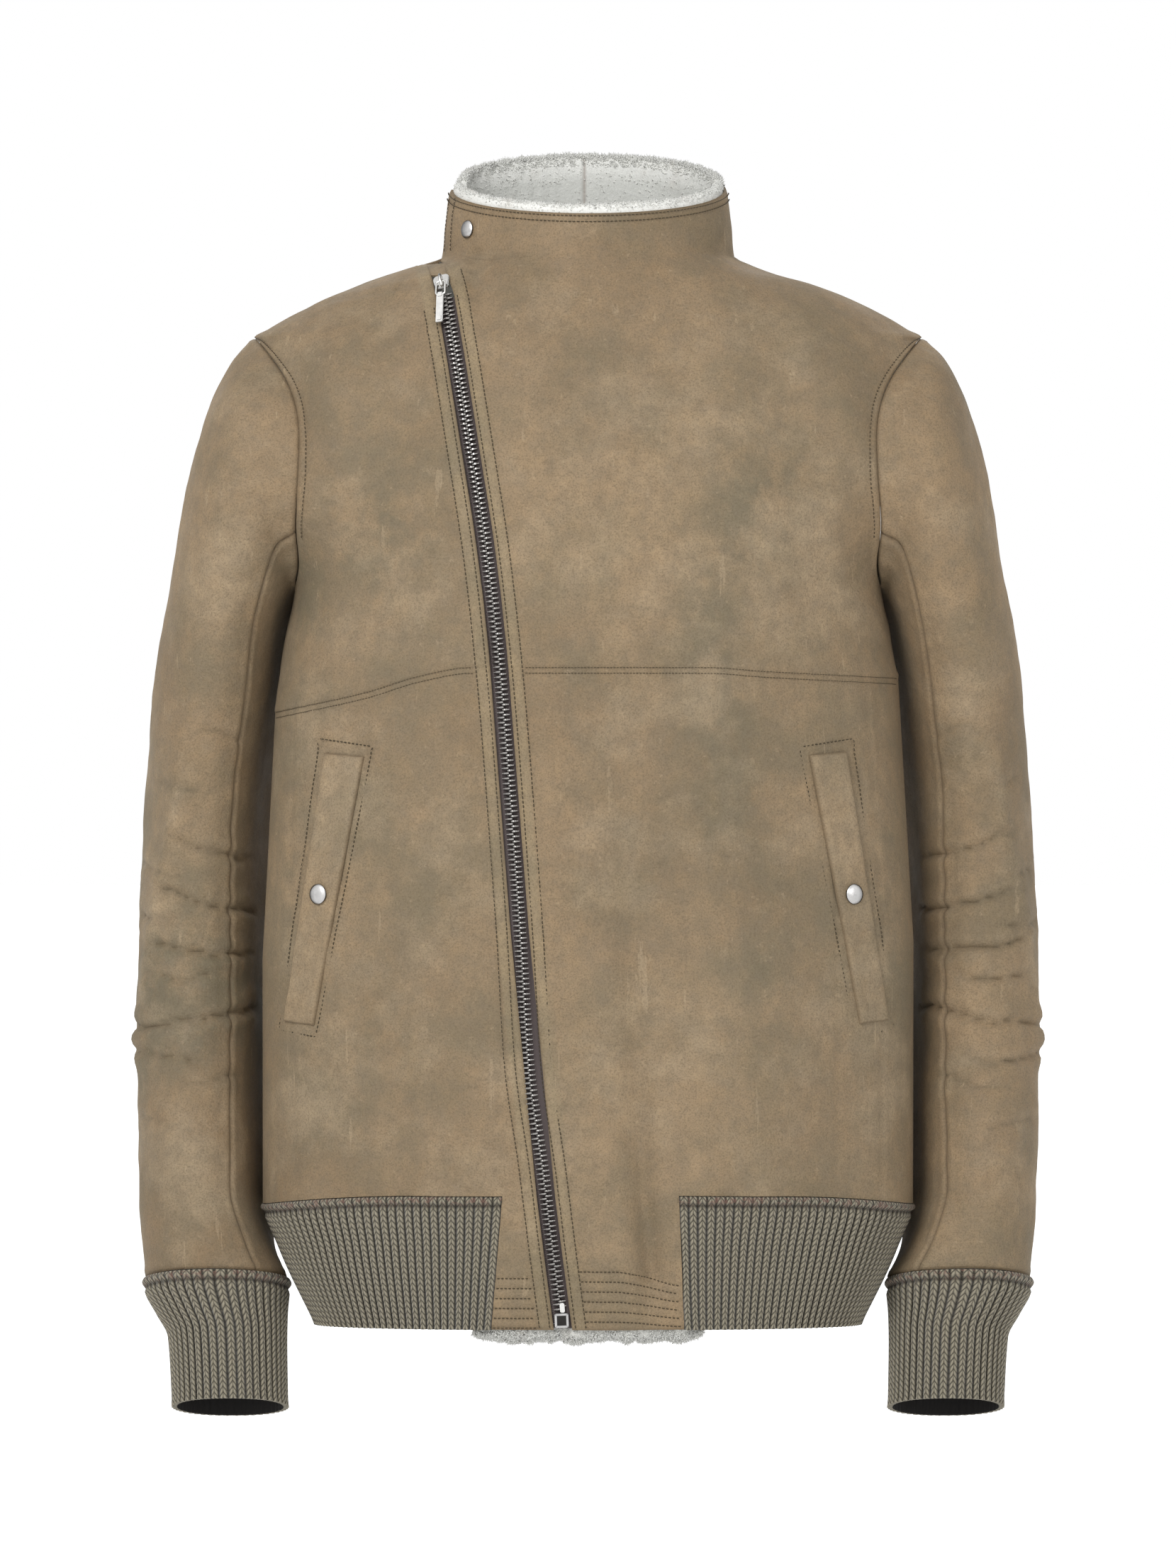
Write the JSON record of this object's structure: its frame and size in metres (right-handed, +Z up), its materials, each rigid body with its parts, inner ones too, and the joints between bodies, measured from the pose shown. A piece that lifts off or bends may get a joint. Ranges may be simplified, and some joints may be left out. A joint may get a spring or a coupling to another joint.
{
  "type": "sheepskin flying jacket",
  "caption": "Hollow worn-form sheepskin flying jacket with a stand collar, a slanting zip, two welt pockets and rib-knit cuffs and hem.",
  "frame": {"origin": "middle of the neck's base, where the jacket sits on the wearer's shoulders", "axes": "+Z up towards the collar, -Y to the front, +X to the wearer's left"},
  "size_m": [0.5866, 0.2606, 0.8218],
  "materials": {
    "leather": "suede",
    "sleeve_leather": "suede",
    "welt_leather": "suede",
    "wool": "curly pile",
    "rib_knit": "ribbed wool knit",
    "zip_tape": "woven twill",
    "nickel": "nickel plated",
    "pewter": "dull plated"
  },
  "bodies": {
    "jacket": {"back_panel": "leather", "collar_back": "leather", "collar_wool_back": "wool", "collar_wool_front": "wool", "cuff_left": "rib_knit", "cuff_right": "rib_knit", "front_left_lower": "leather", "front_left_upper": "leather", "front_right_lower": "leather", "front_right_upper": "leather", "hem_rib_left": "rib_knit", "hem_rib_right": "rib_knit", "hem_wool_left": "wool", "hem_wool_right": "wool", "pocket_welt_left": "welt_leather", "pocket_welt_right": "welt_leather", "sleeve_left_top": "sleeve_leather", "sleeve_left_under": "sleeve_leather", "sleeve_right_top": "sleeve_leather", "sleeve_right_under": "sleeve_leather", "snap_collar": "pewter", "snap_pocket_left": "pewter", "snap_pocket_right": "pewter", "zip_box": "nickel", "zip_chain": "nickel", "zip_slider": "nickel", "zip_tape_left": "zip_tape", "zip_tape_right": "zip_tape"},
    "zip_pull": {"zip_pull": "nickel"}
  },
  "joints": [
    {"name": "pull_swing", "type": "hinge", "parent": "jacket", "child": "zip_pull", "pos_m": [-0.09475, -0.0726, -0.01773], "axis": [-0.9503, 0.2758, -0.1445], "range_deg": [0, 110]}
  ]
}
